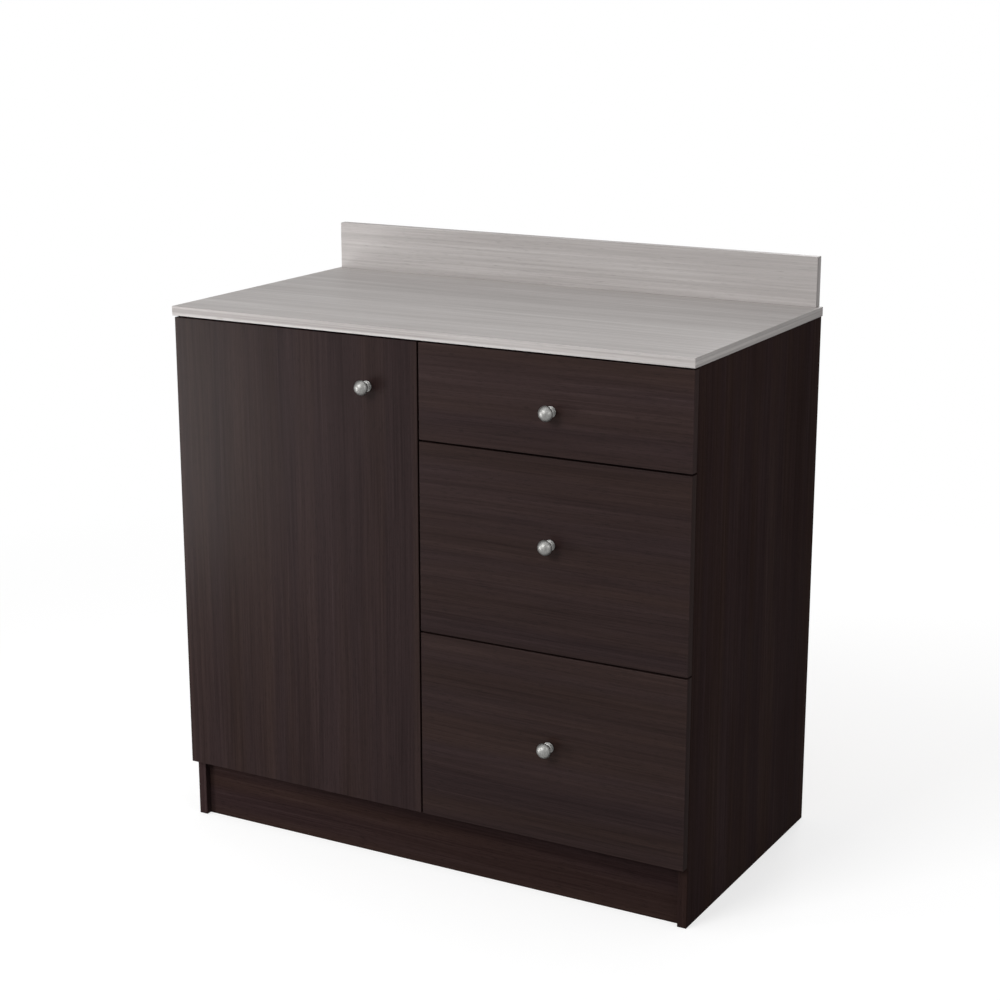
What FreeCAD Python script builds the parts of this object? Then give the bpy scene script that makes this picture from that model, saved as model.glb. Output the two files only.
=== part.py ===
import FreeCAD, Part
import math
import os

# A base kitchen cabinet: a cupboard with one door on the left and three drawers on the
# right, under a laminate worktop with a low backsplash. Boards are laminated chipboard,
# held by cam locks and dowels; the door hangs on concealed hinges and the drawers run on
# telescopic rails.
#
# Millimetres. +Z is up, +X is to the right as seen from the front, and the front looks
# towards -Y. The origin is on the floor, under the middle of the whole outline.

# Carcass
board = 15.0
carcass_width = 900.0
carcass_depth = 475.0
side_height = 855.0
plinth_height = 99.0
kick_recess = 10.0
rear_plinth_setback = 20.0
top_rail_width = 80.0
edge_easing = 0.6

# Back sheet, let into a rebate of each side
sheet = 3.0
rebate_width = 8.0
sheet_clearance = 0.5
wall_hole_radius = 2.5
wall_hole_spacing = 600.0

# Worktop and backsplash
top_board = 15.0
top_side_overhang = 2.0
top_front_overhang = 4.0
splash_board = 15.0
splash_height = 80.0
splash_inset = 6.0

# Door and drawer fronts
front_board = 15.0
front_gap = 1.0
front_reveal = 3.0
top_front_height = 149.0

# Knobs, and how far each hangs below the top of its front
knob_length = 26.0
knob_base_radius = 8.5
knob_base_thickness = 1.8
knob_ring_radius = 7.2
knob_ring_thickness = 1.4
knob_neck_radius = 4.75
knob_head_radius = 12.0
knob_head_thickness = 13.0
knob_dome_height = 9.0
knob_screw_reach = 10.0
knob_screw_end_gap = 1.0
door_knob_edge = 88.5
door_knob_drop = 76.0
top_knob_drop = 82.5
middle_knob_drop = 131.0
bottom_knob_drop = 146.0
knob_underside_out_share = 0.72
knob_underside_up_share = 0.30

# Shelf and its pins
shelf_height = 478.0
shelf_setback = 25.0
shelf_back_gap = 6.0
shelf_side_gap = 1.0
pin_radius = 2.5
pin_sunk = 8.0
pin_reach = 9.0
pin_setback = 60.0
pin_pitch = 32.0
pin_rows_each_way = 2

# Drawer boxes
drawer_board = 12.0
drawer_back_room = 73.0
drawer_rise = 24.0
drawer_top_margin = 40.0
groove_rise = 10.0
groove_depth = 6.0
groove_clearance = 0.2

# Telescopic rails: a cabinet, a middle and a drawer member, one inside the other
rail_room = 12.75
rail_sheet = 1.2
rail_play = 0.5
rail_height = 35.0
rail_setback = 2.0
rail_end_setback = 7.0
rail_lift = 8.0
rail_screw_length = 10.0
rail_screw_shares = (0.12, 0.76)

# Concealed hinges
hinge_end_distance = 100.0
cup_edge = 5.0
cup_radius = 17.5
cup_depth = 11.5
cup_wall = 1.0
cup_wing_length = 58.0
cup_wing_width = 16.0
cup_wing_offset = 4.0
cup_screw_pitch = 48.0
cup_screw_length = 10.0
cup_pin_edge = 12.9
cup_pin_sunk = 1.5
arm_pin_inset = 23.0
arm_pin_back = 2.0
hinge_pin_radius = 1.2
pin_play = 0.06
arm_half_width = 4.5
arm_nose_radius = 2.6
arm_thickness = 9.0
link_sheet = 1.4
link_gap = 0.4
link_half_width = 2.0
link_bow = 3.0
link_bridge_shares = (0.35, 0.65)
plate_thickness = 4.0
plate_setback = 22.0
plate_length = 48.0
plate_width = 16.0
plate_wing_setback = 30.0
plate_wing_length = 14.0
plate_wing_width = 48.0
plate_screw_pitch = 32.0
plate_screw_length = 12.0

# Fasteners
hole_clearance = 0.1
cam_radius = 7.5
cam_backset = 24.0
cam_grip = 10.0
cam_pitch = 120.0
cam_depth_share = 0.8
bolt_radius = 3.0
dowel_radius = 3.0
dowel_half_length = 11.0
screw_radius = 1.75
screw_head_radius = 3.5
screw_head_height = 1.75
back_screw_length = 36.0
splash_screw_length = 42.0
splash_screw_spacing = 300.0
knob_screw_radius = 2.0
knob_screw_head_radius = 4.5
knob_screw_head_height = 2.2
drive_width = 1.0
drive_depth = 1.0
drive_reach_share = 0.6
nail_radius = 0.8
nail_length = 16.0
nail_head_radius = 2.0
nail_head_height = 0.8
bumper_radius = 4.0
bumper_inset = 60.0

# Every cut runs past the face that it opens by this much
overrun = 1.0

# Places worked out from the sizes above
V = FreeCAD.Vector
RIGHT = V(1, 0, 0)
BACK = V(0, 1, 0)
UP = V(0, 0, 1)

half_width = carcass_width / 2
inner_half = half_width - board
front_y = (front_gap + front_board + knob_length - carcass_depth) / 2
back_y = front_y + carcass_depth
sheet_y = back_y - sheet
front_back_y = front_y - front_gap
front_face_y = front_back_y - front_board
floor_z = plinth_height + board
rail_under_z = side_height - board
front_top_z = side_height - front_reveal
bay_left = board / 2
top_z = side_height + top_board
drawer_length = sheet_y - drawer_back_room - front_back_y
rail_length = drawer_length - front_gap - rail_setback - rail_end_setback
deep_front_height = (front_top_z - plinth_height - top_front_height - 2 * front_reveal) / 2
plate_top_u = board + plate_thickness
arm_pin = (board + arm_pin_inset, arm_pin_back)
cup_pin = (cup_pin_edge, -front_gap - cup_pin_sunk)
cup_center_u = cup_edge + cup_radius
link_inner = arm_half_width + link_gap
link_outer = link_inner + link_sheet

# The pieces of each named node, and the holes to be made in them
pieces = {}
bores = {}


def add(name, *solids):
    """Put solids into a named node."""
    pieces.setdefault(name, []).extend(solids)


def bore(tool, *names):
    """Note a hole that is cut from each named node at the end."""
    for name in names:
        bores.setdefault(name, []).append(tool)


def span(a, b):
    """Two coordinates in rising order."""
    return (min(a, b), max(a, b))


def box(x, y, z):
    """A plain block between three pairs of coordinates."""
    return Part.makeBox(x[1] - x[0], y[1] - y[0], z[1] - z[0], V(x[0], y[0], z[0]))


def board_box(x, y, z):
    """A board: a block with its edges eased."""
    block = box(x, y, z)
    return block.makeFillet(edge_easing, block.Edges)


def rod(start, direction, radius, length):
    """A round bar from a point along a direction."""
    return Part.makeCylinder(radius, length, start, direction)


def placed(shape, point, direction):
    """Move a shape that was made along +Z from the origin to a point and direction."""
    shape.Placement = FreeCAD.Placement(point, FreeCAD.Rotation(UP, direction))
    return shape


def drive_cross(head_radius):
    """The cross recess of a screw head or cam, sunk along +Z from the origin."""
    reach = head_radius * drive_reach_share
    half = drive_width / 2
    return box((-reach, reach), (-half, half), (0, drive_depth)).fuse(
        box((-half, half), (-reach, reach), (0, drive_depth)))


def countersunk(point, direction, length, *hosts, node):
    """A countersunk screw, flush at a point, and its hole in every board it passes."""
    def form(grow):
        cone = Part.makeCone(screw_head_radius + grow, screw_radius + grow, screw_head_height)
        return cone.fuse(Part.makeCylinder(screw_radius + grow, length + grow))
    screw = form(0).cut(drive_cross(screw_head_radius))
    add(node, placed(screw, point, direction))
    bore(placed(form(hole_clearance), point, direction), *hosts)


def knob_screw(point, direction, length, *hosts, node):
    """A flat-headed machine screw whose head stands on a face."""
    head = Part.makeCylinder(knob_screw_head_radius, knob_screw_head_height)
    rim = [edge for edge in head.Edges if edge.BoundBox.ZMax < knob_screw_head_height / 2]
    head = head.makeFillet(knob_screw_head_height / 2, rim)
    head = head.cut(drive_cross(knob_screw_head_radius))
    head.translate(UP * -knob_screw_head_height)
    screw = head.fuse(Part.makeCylinder(knob_screw_radius, length))
    add(node, placed(screw, point, direction))
    bore(rod(point, direction, knob_screw_radius + hole_clearance, length + hole_clearance), *hosts)


def cam_joint(centre, face, toward, thickness, host, neighbour, cam_node, bolt_node):
    """A cam lock sunk in a face of the host board, with its bolt in the neighbour."""
    depth = thickness * cam_depth_share
    axis_point = centre - face * (thickness / 2)
    length = cam_backset + cam_grip
    bolt_hole = rod(axis_point, toward, bolt_radius + hole_clearance, length + hole_clearance)
    cam = Part.makeCylinder(cam_radius, depth).cut(drive_cross(cam_radius))
    add(cam_node, placed(cam, centre, -face).cut(bolt_hole))
    add(bolt_node, rod(axis_point, toward, bolt_radius, length))
    bore(rod(centre, -face, cam_radius + hole_clearance, depth + hole_clearance), host)
    bore(bolt_hole, host, neighbour)


def dowel(middle, direction, *hosts):
    """A wooden dowel across the joint between two boards."""
    start = middle - direction * dowel_half_length
    add("wood_dowels", rod(start, direction, dowel_radius, 2 * dowel_half_length))
    slack = direction * hole_clearance
    bore(rod(start - slack, direction, dowel_radius + hole_clearance,
             2 * (dowel_half_length + hole_clearance)), *hosts)


def nail(x, z, host):
    """A flat-headed nail through the back sheet into the edge of a board."""
    def form(grow):
        head = rod(V(x, back_y, z), -BACK, nail_head_radius + grow, nail_head_height)
        return head.fuse(rod(V(x, back_y, z), -BACK, nail_radius + grow, nail_length + grow))
    add("back_panel_nails", form(0))
    bore(form(hole_clearance), "back_panel", host)


def carcass_boards():
    """The sides, the divider, the floor, the plinths, the top rails and the back."""
    depth_y = (front_y, sheet_y)
    for name, sign in (("left_side_panel", -1), ("right_side_panel", 1)):
        panel = board_box(span(sign * inner_half, sign * half_width), (front_y, back_y), (0, side_height))
        rebate_x = span(sign * (inner_half - overrun), sign * (inner_half + rebate_width))
        add(name, panel.cut(box(rebate_x, (sheet_y, back_y + overrun),
                                (plinth_height, side_height + overrun))))
    inner_x = (-inner_half, inner_half)
    divider = board_box((-bay_left, bay_left), depth_y, (floor_z, side_height))
    notch_x = (-bay_left - overrun, bay_left + overrun)
    front_notch = box(notch_x, (front_y - overrun, front_y + top_rail_width),
                      (rail_under_z, side_height + overrun))
    rear_notch = box(notch_x, (sheet_y - board, sheet_y + overrun),
                     (side_height - top_rail_width, side_height + overrun))
    add("center_divider", divider.cut([front_notch, rear_notch]))
    add("bottom_panel", board_box(inner_x, depth_y, (plinth_height, floor_z)))
    kick_y = front_y + kick_recess
    add("toe_kick", board_box(inner_x, (kick_y, kick_y + board), (0, plinth_height)))
    plinth_y = back_y - rear_plinth_setback
    add("rear_plinth", board_box(inner_x, (plinth_y - board, plinth_y), (0, plinth_height)))
    add("front_top_rail", board_box(inner_x, (front_y, front_y + top_rail_width),
                                    (rail_under_z, side_height)))
    add("rear_top_rail", board_box(inner_x, (sheet_y - board, sheet_y),
                                   (side_height - top_rail_width, side_height)))
    sheet_half = inner_half + rebate_width - sheet_clearance
    add("back_panel", box((-sheet_half, sheet_half), (sheet_y, back_y), (plinth_height, side_height)))
    for sign in (-1, 1):
        wall_hole = rod(V(sign * wall_hole_spacing / 2, back_y + overrun, side_height - top_rail_width / 2),
                        -BACK, wall_hole_radius, sheet + board + 2 * overrun)
        bore(wall_hole, "back_panel", "rear_top_rail")


def worktop():
    """The worktop and the backsplash that is screwed to it from below."""
    half = half_width + top_side_overhang
    add("countertop", board_box((-half, half), (front_face_y - top_front_overhang, back_y),
                                (side_height, top_z)))
    splash_half = half - splash_inset
    add("backsplash", board_box((-splash_half, splash_half), (back_y - splash_board, back_y),
                                (top_z, top_z + splash_height)))
    for count in (-1, 0, 1):
        foot = V(count * splash_screw_spacing, back_y - splash_board / 2, side_height)
        countersunk(foot, UP, splash_screw_length, "countertop", "backsplash", node="backsplash_screws")


def carcass_joinery():
    """Cam locks and dowels between the boards, and nails in the back sheet."""
    depth = sheet_y - front_y
    middle_z = plinth_height / 2
    plinth_y = back_y - rear_plinth_setback
    kick_back_y = front_y + kick_recess + board
    upright_z = side_height - top_rail_width / 2
    quarter_rail = top_rail_width / 4
    quarter_plinth = plinth_height / 4
    for side, sign in (("left_side_panel", -1), ("right_side_panel", 1)):
        out = RIGHT * sign
        cam_x = sign * (inner_half - cam_backset)
        edge_x = sign * inner_half
        joints = [("bottom_panel", V(cam_x, front_y + depth / 8, plinth_height), -UP),
                  ("bottom_panel", V(cam_x, sheet_y - depth / 8, plinth_height), -UP),
                  ("toe_kick", V(cam_x, kick_back_y, middle_z + quarter_plinth), BACK),
                  ("rear_plinth", V(cam_x, plinth_y - board, middle_z + quarter_plinth), -BACK),
                  ("front_top_rail", V(cam_x, front_y + 3 * quarter_rail, rail_under_z), -UP),
                  ("rear_top_rail", V(cam_x, sheet_y - board, upright_z + quarter_rail), -BACK)]
        for host, centre, face in joints:
            cam_joint(centre, face, out, board, host, side, "cam_locks", "cam_bolts")
        for y in (front_y + depth / 4, sheet_y - depth / 8):
            cam_joint(V(edge_x, y, side_height - cam_backset), -out, UP, board,
                      side, "countertop", "cam_locks", "cam_bolts")
        dowels = [("bottom_panel", V(edge_x, front_y + depth / 3, plinth_height + board / 2)),
                  ("bottom_panel", V(edge_x, sheet_y - depth / 3, plinth_height + board / 2)),
                  ("toe_kick", V(edge_x, kick_back_y - board / 2, middle_z - quarter_plinth)),
                  ("rear_plinth", V(edge_x, plinth_y - board / 2, middle_z - quarter_plinth)),
                  ("front_top_rail", V(edge_x, front_y + quarter_rail, side_height - board / 2)),
                  ("rear_top_rail", V(edge_x, sheet_y - board / 2, upright_z - quarter_rail))]
        for host, middle in dowels:
            dowel(middle, out, host, side)
        for sixth in (1, 3, 5):
            nail(sign * (inner_half + rebate_width / 2), floor_z + (side_height - floor_z) * sixth / 6, side)
        nail(sign * inner_half / 2, plinth_height + board / 2, "bottom_panel")
        nail(sign * inner_half / 2, upright_z, "rear_top_rail")
    for y in (front_y + depth / 8, front_y + depth / 2, sheet_y - depth / 8):
        dowel(V(0, y, floor_z), UP, "bottom_panel", "center_divider")
    dowel(V(0, front_y + top_rail_width / 2, rail_under_z), UP, "front_top_rail", "center_divider")
    dowel(V(0, sheet_y - board, upright_z), BACK, "rear_top_rail", "center_divider")
    third = (side_height - floor_z) / 3
    for z in (floor_z + third, floor_z + 2 * third):
        nail(0, z, "center_divider")


def cupboard_shelf():
    """The loose shelf of the cupboard on four pins, with spare pin holes."""
    add("shelf", board_box((-inner_half + shelf_side_gap, -bay_left - shelf_side_gap),
                           (front_y + shelf_setback, sheet_y - shelf_back_gap),
                           (shelf_height, shelf_height + board)))
    pin_z = shelf_height - pin_radius
    walls = (("left_side_panel", -inner_half, RIGHT), ("center_divider", -bay_left, -RIGHT))
    for wall, wall_x, inward in walls:
        for y in (front_y + pin_setback, sheet_y - pin_setback):
            foot = V(wall_x, y, pin_z)
            add("shelf_pins", rod(foot - inward * pin_sunk, inward, pin_radius, pin_sunk + pin_reach))
            for row in range(-pin_rows_each_way, pin_rows_each_way + 1):
                mouth = foot + UP * (row * pin_pitch) + inward * overrun
                bore(rod(mouth, -inward, pin_radius + hole_clearance,
                         pin_sunk + hole_clearance + overrun), wall)


def knob(x, z):
    """A turned knob on a front: a stepped base, a neck and a domed head."""
    ring_top = knob_base_thickness + knob_ring_thickness
    cove = knob_ring_radius - knob_neck_radius
    cove_share = 1 - 0.5 ** 0.5
    neck_top = knob_length - knob_head_thickness
    rim = knob_length - knob_dome_height
    dome = (knob_head_radius ** 2 + knob_dome_height ** 2) / (2 * knob_dome_height)
    spread = knob_head_radius - knob_neck_radius
    half_way = knob_head_radius / 2
    corners = [V(0, 0, 0), V(knob_base_radius, 0, 0), V(knob_base_radius, 0, knob_base_thickness),
               V(knob_ring_radius, 0, knob_base_thickness), V(knob_ring_radius, 0, ring_top)]
    neck_low = V(knob_neck_radius, 0, ring_top + cove)
    neck_high = V(knob_neck_radius, 0, neck_top)
    rim_point = V(knob_head_radius, 0, rim)
    crown = V(0, 0, knob_length)
    cove_middle = V(knob_neck_radius + cove * cove_share, 0, ring_top + cove * cove_share)
    underside = V(knob_neck_radius + spread * knob_underside_out_share, 0,
                  neck_top + (rim - neck_top) * knob_underside_up_share)
    over = V(half_way, 0, knob_length - dome + (dome ** 2 - half_way ** 2) ** 0.5)
    edges = [Part.LineSegment(a, b).toShape() for a, b in zip(corners, corners[1:])]
    edges += [Part.Arc(corners[-1], cove_middle, neck_low).toShape(),
              Part.LineSegment(neck_low, neck_high).toShape(),
              Part.Arc(neck_high, underside, rim_point).toShape(),
              Part.Arc(rim_point, over, crown).toShape(),
              Part.LineSegment(crown, corners[0]).toShape()]
    turned = Part.Face(Part.Wire(edges)).revolve(V(0, 0, 0), UP, 360)
    hole = rod(V(0, 0, 0), UP, knob_screw_radius + hole_clearance, knob_screw_reach + knob_screw_end_gap)
    return placed(turned.cut(hole), V(x, front_face_y, z), -BACK)


def front_with_knob(name, x, z, knob_x, knob_drop, knob_node, screw_node):
    """A door or drawer front with its knob and the knob's screw."""
    add(name, board_box(x, (front_face_y, front_back_y), z))
    knob_z = z[1] - knob_drop
    add(knob_node, knob(knob_x, knob_z))
    knob_screw(V(knob_x, front_back_y, knob_z), -BACK, front_board + knob_screw_reach,
               name, node=screw_node)


def drawer(name, z, knob_drop):
    """One drawer: front, sides, back, bottom sheet, knob, fasteners and rails."""
    part = name + "_drawer_"
    outer = (bay_left + rail_room, inner_half - rail_room)
    inner = (outer[0] + drawer_board, outer[1] - drawer_board)
    low = z[0] + drawer_rise
    high = z[1] - drawer_top_margin
    end_y = front_back_y + drawer_length
    front_with_knob(part + "front", (front_reveal / 2, half_width), z, half_width / 2, knob_drop,
                    part + "knob", part + "fasteners")
    groove_z = (low + groove_rise - groove_clearance, low + groove_rise + sheet + groove_clearance)
    groove = box((inner[0] - groove_depth, inner[1] + groove_depth),
                 (front_back_y - groove_depth, end_y + overrun), groove_z)
    bore(groove, part + "front", part + "left_side", part + "right_side")
    reach = groove_depth - groove_clearance
    add(part + "bottom", box((inner[0] - reach, inner[1] + reach), (front_back_y - reach, end_y),
                             (low + groove_rise, low + groove_rise + sheet)))
    add(part + "back", board_box(inner, (end_y - drawer_board, end_y), (groove_z[1], high)))
    sides = ((part + "left_side", outer[0], inner[0], RIGHT),
             (part + "right_side", outer[1], inner[1], -RIGHT))
    rows = 1 + int((high - low) // cam_pitch)
    for side, outer_x, inner_x, inward in sides:
        add(side, board_box(span(outer_x, inner_x), (front_back_y, end_y), (low, high)))
        for row in range(rows):
            row_z = groove_z[1] + (high - groove_z[1]) * (row + 0.5) / rows
            cam_joint(V(inner_x, front_back_y + cam_backset, row_z), inward, -BACK, drawer_board,
                      side, part + "front", part + "fasteners", part + "fasteners")
            countersunk(V(outer_x, end_y - drawer_board / 2, row_z), inward, back_screw_length,
                        side, part + "back", node=part + "fasteners")
    drawer_rails(name, low + rail_lift + rail_height / 2, sides)


def drawer_rails(name, middle_z, sides):
    """The telescopic rail pair of one drawer and the screws that hold it."""
    part = name + "_drawer_"
    rail_y = (front_y + rail_setback, front_y + rail_setback + rail_length)
    step = rail_sheet + rail_play
    half = rail_height / 2
    members = (("cabinet_rails", (0, rail_room - 2 * rail_sheet), half, True),
               ("middle_rails", (step, rail_room - rail_sheet), half - step, True),
               ("box_rails", (2 * step, rail_room), half - 2 * step, False))
    walls = (("center_divider", bay_left), ("right_side_panel", inner_half))
    for (wall, wall_x), (side, outer_x, _, inward) in zip(walls, sides):
        for node, reach, tall, opens_inward in members:
            hollow = (reach[0] + rail_sheet, reach[1] + overrun)
            if not opens_inward:
                hollow = (reach[0] - overrun, reach[1] - rail_sheet)
            skin = box(span(wall_x + inward.x * reach[0], wall_x + inward.x * reach[1]), rail_y,
                       (middle_z - tall, middle_z + tall))
            inside = box(span(wall_x + inward.x * hollow[0], wall_x + inward.x * hollow[1]),
                         (rail_y[0] - overrun, rail_y[1] + overrun),
                         (middle_z - tall + rail_sheet, middle_z + tall - rail_sheet))
            add(part + node, skin.cut(inside))
        for share in rail_screw_shares:
            y = rail_y[0] + share * rail_length
            countersunk(V(wall_x + inward.x * rail_sheet, y, middle_z), -inward, rail_screw_length,
                        wall, part + "cabinet_rails", node="rail_screws")
            countersunk(V(outer_x - inward.x * rail_sheet, y, middle_z), inward, rail_screw_length,
                        side, part + "box_rails", node=part + "fasteners")


def hinge_point(place, z):
    """A point given by its distances from the cabinet's outer side and front edges."""
    return V(place[0] - half_width, front_y + place[1], z)


def hinge_block(u, y, z):
    """A block given in the same distances."""
    return box((u[0] - half_width, u[1] - half_width), (front_y + y[0], front_y + y[1]), z)


def hinge_link(z):
    """The bowed link between the arm's pin and the cup's pin, two cheeks and a bridge."""
    start = hinge_point(cup_pin, 0)
    end = hinge_point(arm_pin, 0)
    chord = end - start
    across = V(chord.y, -chord.x, 0) * (1 / chord.Length)
    radius = chord.Length ** 2 / (8 * link_bow) + link_bow / 2
    center = (start + end) * 0.5 + across * (link_bow - radius)

    def band(low_radius, high_radius, low_share, high_share, z_span):
        """A stretch of the bow between two radii and two shares of its length."""
        turn = FreeCAD.Rotation(start - center, end - center)

        def at(distance, share):
            swing = FreeCAD.Rotation(turn.Axis, math.degrees(turn.Angle) * share)
            return center + swing.multVec(start - center) * (distance / radius)

        shares = (low_share, (low_share + high_share) / 2, high_share)
        outer = [at(high_radius, share) for share in shares]
        inner = [at(low_radius, share) for share in shares]
        outline = [Part.Arc(*outer), Part.LineSegment(outer[-1], inner[-1]),
                   Part.Arc(*reversed(inner)), Part.LineSegment(inner[0], outer[0])]
        face = Part.Face(Part.Wire([line.toShape() for line in outline]))
        face.translate(UP * z_span[0])
        return face.extrude(UP * (z_span[1] - z_span[0]))

    link = band(radius + link_half_width - link_sheet, radius + link_half_width, *link_bridge_shares,
                (z - link_outer, z + link_outer))
    for low in (z - link_outer, z + link_inner):
        cheek = band(radius - link_half_width, radius + link_half_width, 0, 1, (low, low + link_sheet))
        for eye in (start, end):
            cheek = cheek.fuse(rod(eye + UP * low, UP, link_half_width, link_sheet))
        link = link.fuse(cheek)
    for eye in (start, end):
        link = link.cut(rod(eye + UP * (z - link_outer - overrun), UP, hinge_pin_radius + pin_play,
                            2 * (link_outer + overrun)))
    return link.removeSplitter()


def hinge(z):
    """One concealed hinge: cup in the door, plate and arm on the side, link and two pins."""
    cup_middle = hinge_point((cup_center_u, -front_gap), z)
    wing_middle_u = cup_center_u + cup_wing_offset
    wing_u = (wing_middle_u - cup_wing_width / 2, wing_middle_u + cup_wing_width / 2)
    wing_z = (z - cup_wing_length / 2, z + cup_wing_length / 2)
    wing = hinge_block(wing_u, (-front_gap - cup_wall, -front_gap), wing_z)
    bowl = rod(cup_middle, -BACK, cup_radius, cup_depth).fuse(wing)
    hollow = rod(cup_middle, -BACK, cup_radius - cup_wall, cup_depth - cup_wall)
    add("hinge_cups", bowl.cut(hollow).removeSplitter())
    pocket = rod(cup_middle + BACK * overrun, -BACK, cup_radius + hole_clearance,
                 cup_depth + hole_clearance + overrun)
    slack = hole_clearance
    wing_pocket = hinge_block((wing_u[0] - slack, wing_u[1] + slack),
                              (-front_gap - cup_wall, -front_gap + overrun),
                              (wing_z[0] - slack, wing_z[1] + slack))
    bore(pocket.fuse(wing_pocket), "door_panel")
    pin_offset = cup_center_u - cup_pin_edge + hinge_pin_radius
    cup_pin_half = ((cup_radius - hole_clearance) ** 2 - pin_offset ** 2) ** 0.5
    arm_pin_half = link_outer
    pins = (("hinge_cup_pins", cup_pin, cup_pin_half, "hinge_cups"),
            ("hinge_arm_pins", arm_pin, arm_pin_half, "hinge_arms"))
    for node, place, half, host in pins:
        foot = hinge_point(place, z - half)
        add(node, rod(foot, UP, hinge_pin_radius, 2 * half))
        bore(rod(foot, UP, hinge_pin_radius, 2 * half), host)
    plate = hinge_block((board, plate_top_u), (plate_setback, plate_setback + plate_length),
                        (z - plate_width / 2, z + plate_width / 2))
    wings = hinge_block((board, plate_top_u), (plate_wing_setback, plate_wing_setback + plate_wing_length),
                        (z - plate_wing_width / 2, z + plate_wing_width / 2))
    add("hinge_plates", plate.fuse(wings).removeSplitter())
    arm_top_u = plate_top_u + arm_thickness
    body = hinge_block((plate_top_u, arm_top_u), (plate_setback, plate_setback + plate_length),
                       (z - arm_half_width, z + arm_half_width))
    knee = hinge_point((arm_top_u - arm_nose_radius, plate_setback + arm_nose_radius), z - arm_half_width)
    nose = hinge_point(arm_pin, z - arm_half_width)
    add("hinge_arms", body.fuse(round_bar(knee, nose, arm_nose_radius, 2 * arm_half_width)).removeSplitter())
    add("hinge_links", hinge_link(z))
    wing_middle = plate_wing_setback + plate_wing_length / 2
    for sign in (-1, 1):
        countersunk(hinge_point((plate_top_u, wing_middle), z + sign * plate_screw_pitch / 2), -RIGHT,
                    plate_screw_length, "hinge_plates", "left_side_panel", node="hinge_plate_screws")
        countersunk(hinge_point((wing_middle_u, -front_gap), z + sign * cup_screw_pitch / 2), -BACK,
                    cup_screw_length, "hinge_cups", "door_panel", node="door_screws")


def round_bar(start, end, radius, height):
    """A bar with round ends between two points, standing up by a height."""
    along = end - start
    across = V(-along.y, along.x, 0) * (radius / along.Length)
    corners = [start + across, end + across, end - across, start - across]
    face = Part.Face(Part.makePolygon(corners + corners[:1]))
    bar = face.extrude(UP * height)
    for foot in (start, end):
        bar = bar.fuse(rod(foot, UP, radius, height))
    return bar


def door():
    """The door with its knob, hinges and the bumpers that it closes on."""
    z = (plinth_height, front_top_z)
    edge_x = -front_reveal / 2
    front_with_knob("door_panel", (-half_width, edge_x), z, edge_x - door_knob_edge, door_knob_drop,
                    "door_knob", "door_screws")
    for hinge_z in (z[0] + hinge_end_distance, z[1] - hinge_end_distance):
        hinge(hinge_z)
    for bumper_z in (plinth_height + board / 2, side_height - board / 2):
        add("door_bumpers", rod(V(edge_x - bumper_inset, front_y, bumper_z), -BACK, bumper_radius, front_gap))


def drawers():
    """The three drawers, one above the other."""
    low = plinth_height
    plan = (("bottom", deep_front_height, bottom_knob_drop),
            ("middle", deep_front_height, middle_knob_drop),
            ("top", top_front_height, top_knob_drop))
    for name, height, knob_drop in plan:
        drawer(name, (low, low + height), knob_drop)
        low += height + front_reveal


def export():
    """Make the holes and write each node to its own file."""
    os.makedirs("parts", exist_ok=True)
    for name, solids in pieces.items():
        done = []
        for solid in solids:
            shape = solid
            near = [tool for tool in bores.get(name, []) if tool.BoundBox.intersect(solid.BoundBox)]
            if near:
                shape = solid.cut(near)
            done.extend(shape.Solids)
        whole = done[0] if len(done) == 1 else Part.makeCompound(done)
        whole.exportStep("parts/" + name + ".step")
        print(name, len(done))


carcass_boards()
worktop()
carcass_joinery()
cupboard_shelf()
door()
drawers()
export()
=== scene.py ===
# %% [markdown]
# # A base kitchen cabinet
# The real object is a flat-packed cabinet: dark espresso boards, a pale grey worktop with a low
# backsplash, one door on the left, three drawers on the right and four turned metal knobs. Its boards,
# rails, hinges and screws come as solids at their real size, in one file, the frame. This lesson gives
# each of them its finish and makes the turned, rolled and bent pieces again as finer surfaces.

# %% Load the frame
import math

import bmesh
import bpy
import numpy as np
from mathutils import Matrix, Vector


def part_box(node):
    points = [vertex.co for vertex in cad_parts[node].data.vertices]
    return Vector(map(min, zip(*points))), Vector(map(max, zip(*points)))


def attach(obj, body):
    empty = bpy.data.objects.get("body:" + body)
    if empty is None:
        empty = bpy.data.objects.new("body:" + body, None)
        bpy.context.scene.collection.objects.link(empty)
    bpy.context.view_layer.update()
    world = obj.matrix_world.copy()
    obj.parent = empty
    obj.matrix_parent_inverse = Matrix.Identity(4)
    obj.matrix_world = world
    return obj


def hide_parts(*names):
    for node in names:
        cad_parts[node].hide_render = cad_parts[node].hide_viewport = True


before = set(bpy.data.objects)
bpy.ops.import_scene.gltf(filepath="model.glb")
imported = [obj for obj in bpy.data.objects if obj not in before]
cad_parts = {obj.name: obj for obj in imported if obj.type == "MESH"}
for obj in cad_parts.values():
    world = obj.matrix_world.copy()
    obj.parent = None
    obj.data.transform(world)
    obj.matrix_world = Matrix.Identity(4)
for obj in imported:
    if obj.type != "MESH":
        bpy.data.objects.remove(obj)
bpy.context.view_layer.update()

# %% [markdown]
# ## Colours
# Colours are written as screen values, because that is how they are read off a picture, and turned into
# the linear light that shaders count in. Typing linear values by hand would work too, but nobody can
# picture them.

# %% Screen values as light
MILLIMETRE = 0.001
CURVE_START = 0.04045
START_SLOPE = 12.92
CURVE_OFFSET = 0.055
CURVE_POWER = 2.4
WHITE = (1.0, 1.0, 1.0, 1.0)


def paint(red, green, blue):
    """Screen values from 0 to 255 as linear light: the screen's own curve, undone."""
    screen = np.array([red, green, blue]) / 255
    curved = ((screen + CURVE_OFFSET) / (1 + CURVE_OFFSET)) ** CURVE_POWER
    linear = np.where(screen <= CURVE_START, screen / START_SLOPE, curved)
    return (*linear.tolist(), 1.0)


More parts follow.
